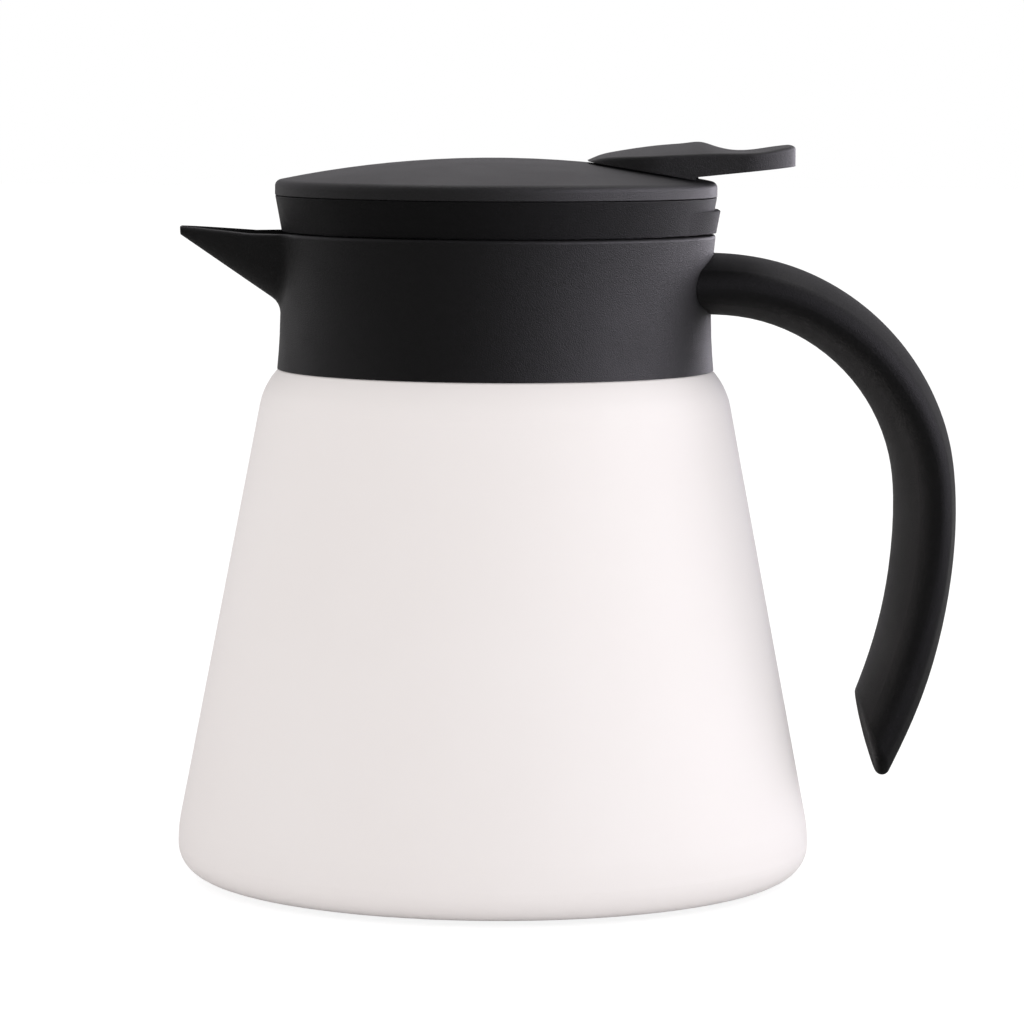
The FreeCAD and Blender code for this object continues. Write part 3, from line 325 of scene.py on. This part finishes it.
def soft_rubber(name, tones, roughness):
    """Silicone or rubber with a dusty, faintly mottled skin."""
    recipe = Recipe(name)
    mottle = recipe.noise(RUBBER_MOTTLE_SCALE, RICH_DETAIL)
    skin = recipe.noise(RUBBER_SKIN_SCALE, FINE_DETAIL)
    spread = RUBBER_ROUGHNESS_SPREAD
    recipe.set(
        Base_Color=recipe.tones(mottle, *tones),
        Roughness=recipe.span(mottle, roughness - spread, roughness + spread),
        Normal=recipe.bump(skin, RUBBER_SKIN_DEPTH),
        Sheen_Weight=RUBBER_DUST,
    )
    return recipe.material


def cast_metal(name, tones, roughness):
    """A small solidified or pressed lump of metal."""
    recipe = Recipe(name)
    lumps = recipe.cells(CAST_LUMP_SCALE)
    stains = recipe.noise(CAST_STAIN_SCALE, RICH_DETAIL)
    spread = CAST_ROUGHNESS_SPREAD
    recipe.set(
        Base_Color=recipe.tones(stains, *tones),
        Roughness=recipe.span(stains, roughness - spread, roughness + spread),
        Normal=recipe.bump(lumps, CAST_LUMP_DEPTH),
        Metallic=1.0,
    )
    return recipe.material


matt_black = moulded_plastic("matt_black", BLACK, OUTER_ROUGHNESS, OUTER_GRAIN_DEPTH, MATT_SHEEN)
FINISHES = (
    (satin_paint("body_paint"), ("outer_shell",)),
    (moulded_plastic("collar_black", BLACK, OUTER_ROUGHNESS, OUTER_GRAIN_DEPTH), ("collar",)),
    (matt_black, ("handle", "lid_skirt")),
    # Lid cover and thumb lever: the same black plastic with a lighter base colour, as painted light
    (moulded_plastic("lid_black_painted_lighter", LID_BLACK_PAINTED_LIGHTER, OUTER_ROUGHNESS, OUTER_GRAIN_DEPTH, LID_SHEEN),
     ("lid_cover", "thumb_lever")),
    (moulded_plastic("inner_black", INNER_BLACK, INNER_ROUGHNESS, INNER_GRAIN_DEPTH),
     ("neck_ring", "collar_sleeve", "lever_arm")),
    (moulded_plastic("stopper_plastic", DARK_GREY, STOPPER_ROUGHNESS, INNER_GRAIN_DEPTH),
     ("stopper", "stem_guide", "valve_disc")),
    (brushed_steel("liner_steel", STEEL_TONE, LINER_ROUGHNESS, LINER_STRETCH), ("inner_liner",)),
    (brushed_steel("turned_steel", TURNED_TONE, TURNED_ROUGHNESS, TURNED_STRETCH),
     ("valve_stem", "stem_nut", "valve_spring", "lever_pin", "handle_screws")),
    (brushed_steel("base_steel", STEEL_TONE, BASE_ROUGHNESS, BASE_STRETCH), ("base_plate",)),
    (soft_rubber("silicone", SILICONE_TONES, SILICONE_ROUGHNESS),
     ("collar_gasket", "stopper_gasket", "valve_seal")),
    (soft_rubber("foot_rubber", FOOT_TONES, FOOT_ROUGHNESS), ("foot_ring",)),
    (cast_metal("solder", SOLDER_TONES, SOLDER_ROUGHNESS), ("seal_bead",)),
    (cast_metal("getter_pellet", PELLET_TONES, PELLET_ROUGHNESS), ("getter",)),
)


def dress_nodes():
    """Give each CAD node its one material."""
    for material, nodes in FINISHES:
        for node in nodes:
            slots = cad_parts[node].data.materials
            slots.clear()
            slots.append(material)


def make_tab():
    """A skin over the skirt's tab that swells out of the skirt and back into it."""
    low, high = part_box("lid_skirt")
    lean = SKIRT_FLARE / (high.z - low.z)
    foot = low.z + TAB_FOOT - TAB_SKIN
    head = low.z + TAB_HEIGHT + TAB_SKIN
    section = ((foot, False), (foot, True), (head, True), (head, False))
    corners = len(section)

    def skirt_radius(height):
        return -low.x - lean * (high.z - height)

    def swell(radius, angle):
        flat = (radius + TAB_PROUD + TAB_SKIN) / math.cos(min(abs(angle), TAB_HALF_ANGLE)) - radius
        run = max(0.0, (abs(angle) - TAB_HALF_ANGLE) / (TAB_RUN_ANGLE - TAB_HALF_ANGLE))
        return flat * (0.5 + 0.5 * math.cos(math.pi * run))

    points = []
    for step in range(TAB_STEPS + 1):
        angle = TAB_RUN_ANGLE * (2.0 * step / TAB_STEPS - 1.0)
        for height, outer in section:
            radius = skirt_radius(height)
            reach = radius + swell(radius, angle) if outer else radius - TAB_ROOT
            points.append((reach * math.cos(angle), reach * math.sin(angle), height))
    first_end = range(corners)
    last_end = range(corners * TAB_STEPS, corners * (TAB_STEPS + 1))
    faces = [tuple(first_end), tuple(reversed(last_end))]
    for start in range(0, corners * TAB_STEPS, corners):
        for corner in range(corners):
            here = start + corner
            beside = start + (corner + 1) % corners
            faces.append((here, here + corners, beside + corners, beside))
    mesh = bpy.data.meshes.new("tab_run")
    mesh.from_pydata(points, [], faces)
    mesh.shade_smooth()
    for edge in mesh.edges:
        edge.use_edge_sharp = abs(edge.vertices[0] - edge.vertices[1]) == corners
    mesh.materials.append(matt_black)
    tab = bpy.data.objects.new("tab_run", mesh)
    scene.collection.objects.link(tab)
    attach(tab, "lid")


def make_spring():
    """The valve's spring, which in the carafe is pressed together against its upper end as the valve
    rises, as a copy of its own on the lid in place of the CAD node.
    """
    coil = bpy.data.objects.new("spring_coil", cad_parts["valve_spring"].data.copy())
    scene.collection.objects.link(coil)
    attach(coil, "lid")
    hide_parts("valve_spring")
    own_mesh(coil)


def floor_paper():
    """White to the camera, but for a share of the true shade, and dim in front for reflections."""
    material = bpy.data.materials.new("floor_paper")
    material.use_nodes = True
    nodes = Nodes(material.node_tree)
    nodes.tree.nodes.clear()
    rays = nodes.add("ShaderNodeLightPath").outputs
    axes = nodes.axes("Object")
    glow = nodes.add("ShaderNodeEmission", [("Color", BACKGROUND_TONE), ("Strength", FLOOR_GLOW)])
    paper = nodes.add("ShaderNodeBsdfDiffuse", [("Color", FLOOR_TONE)]).outputs["BSDF"]
    right = nodes.work_out("MAXIMUM", axes["X"], 0.0)
    depth = nodes.work_out("MULTIPLY_ADD", right, FLOOR_MIRRORED_RIGHT, axes["Y"])
    tone = nodes.span(depth, FLOOR_MIRRORED_FRONT, FLOOR_MIRRORED_BACK, *FLOOR_MIRRORED_SPAN)
    dim_paper = nodes.add("ShaderNodeBsdfDiffuse", [("Color", tone)]).outputs["BSDF"]
    seen = nodes.mix(FLOOR_SHADE_SHARE, glow.outputs["Emission"], paper)
    unseen = nodes.mix(rays["Is Glossy Ray"], paper, dim_paper)
    nodes.add("ShaderNodeOutputMaterial", [("Surface", nodes.mix(rays["Is Camera Ray"], unseen, seen))])
    return material


def make_floor():
    """A wide pale floor that reads as the white background to the camera, but keeps the shadow."""
    reach = FLOOR_REACH
    mesh = bpy.data.meshes.new("floor")
    corners = [(-reach, -reach, 0), (reach, -reach, 0), (reach, reach, 0), (-reach, reach, 0)]
    mesh.from_pydata(corners, [], [(0, 1, 2, 3)])
    mesh.materials.append(floor_paper())
    floor = bpy.data.objects.new("floor", mesh)
    floor.location.z = -FLOOR_DROP
    scene.collection.objects.link(floor)


def make_world():
    """White to the camera, a studio that is darker in front for reflections, soft light for the rest."""
    scene.world = bpy.data.worlds.new("studio")
    scene.world.use_nodes = True
    nodes = Nodes(scene.world.node_tree)
    nodes.tree.nodes.clear()

    def background(tone, strength):
        inputs = [("Color", tone), ("Strength", strength)]
        return nodes.add("ShaderNodeBackground", inputs).outputs["Background"]

    rays = nodes.add("ShaderNodeLightPath").outputs
    depth = nodes.span(nodes.axes("Generated")["Y"], MIRRORED_FRONT_STRENGTH, MIRRORED_BACK_STRENGTH,
                       *MIRRORED_SPAN, interpolation_type="SMOOTHSTEP")
    unseen = nodes.mix(rays["Is Glossy Ray"], background(AMBIENT_TONE, AMBIENT_STRENGTH),
                       background(MIRRORED_TONE, depth))
    shown = nodes.work_out("MAXIMUM", rays["Is Camera Ray"], rays["Is Transmission Ray"])
    surface = nodes.mix(shown, unseen, background(BACKGROUND_TONE, BACKGROUND_STRENGTH))
    nodes.add("ShaderNodeOutputWorld", [("Surface", surface)])


def aim(item, target):
    """Turn a lamp towards a point."""
    away = [part - goal for part, goal in zip(item.location, target)]
    item.rotation_euler = (math.atan2(math.hypot(away[0], away[1]), away[2]), 0,
                           math.atan2(away[0], -away[1]))


def spare(item, nodes):
    """Keep a lamp's light off some nodes."""
    group = bpy.data.collections.new(item.name + "_spared")
    for node in nodes:
        group.objects.link(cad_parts[node])
    for member in group.collection_objects:
        member.light_linking.link_state = "EXCLUDE"
    item.light_linking.receiver_collection = group


def make_lamps():
    """Soft area lamps, none of which the camera sees."""
    for name, lamp in LAMPS.items():
        light = bpy.data.lights.new(name, "AREA")
        light.shape = "RECTANGLE"
        light.size = lamp.width
        light.size_y = lamp.height
        light.energy = lamp.watts
        light.color = lamp.tone
        light.use_shadow = lamp.shadow
        item = bpy.data.objects.new(name, light)
        item.location = lamp.place
        aim(item, LAMP_TARGET)
        item.visible_camera = False
        item.visible_diffuse = lamp.lights
        item.visible_glossy = lamp.mirrored
        scene.collection.objects.link(item)
        if lamp.spared:
            spare(item, lamp.spared)


def make_camera():
    """The photograph's camera, tilted down and rolled a little."""
    lens = bpy.data.cameras.new("camera")
    lens.sensor_width = SENSOR_WIDTH
    lens.lens = CAMERA_LENS
    item = bpy.data.objects.new("camera", lens)
    item.location = CAMERA_PLACE
    turn = Matrix.Rotation(math.pi / 2 - CAMERA_TILT, 3, "X") @ Matrix.Rotation(CAMERA_ROLL, 3, "Z")
    item.rotation_euler = turn.to_euler()
    scene.collection.objects.link(item)
    scene.camera = item


dress_nodes()
make_tab()
make_spring()
make_floor()
make_world()
make_lamps()
make_camera()
scene.view_settings.view_transform = "Standard"
